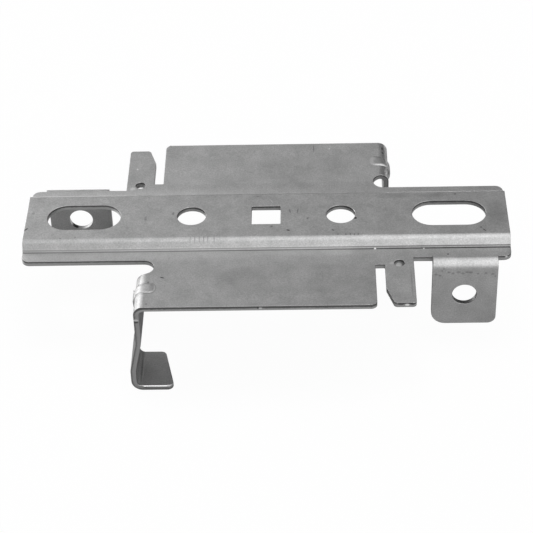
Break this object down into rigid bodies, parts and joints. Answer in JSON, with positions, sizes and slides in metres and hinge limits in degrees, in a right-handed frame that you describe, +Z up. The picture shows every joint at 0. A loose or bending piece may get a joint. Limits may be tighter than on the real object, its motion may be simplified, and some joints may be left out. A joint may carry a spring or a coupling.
{
  "type": "stamped mounting bracket",
  "caption": "Folded sheet-steel mounting bracket with a raised slotted strip, side plates, legs with feet, fingers and drilled tabs.",
  "frame": {"origin": "on the floor plane that the feet stand on, straight under the centre of the square hole", "axes": "+X along the raised strip, +Y across it towards the side whose tab is at the -X end, +Z up out of the web's top face"},
  "size_m": [0.183, 0.1004, 0.0433],
  "materials": {
    "steel": "mill finish, satin"
  },
  "bodies": {
    "root": {"bracket": "steel"}
  },
  "joints": []
}
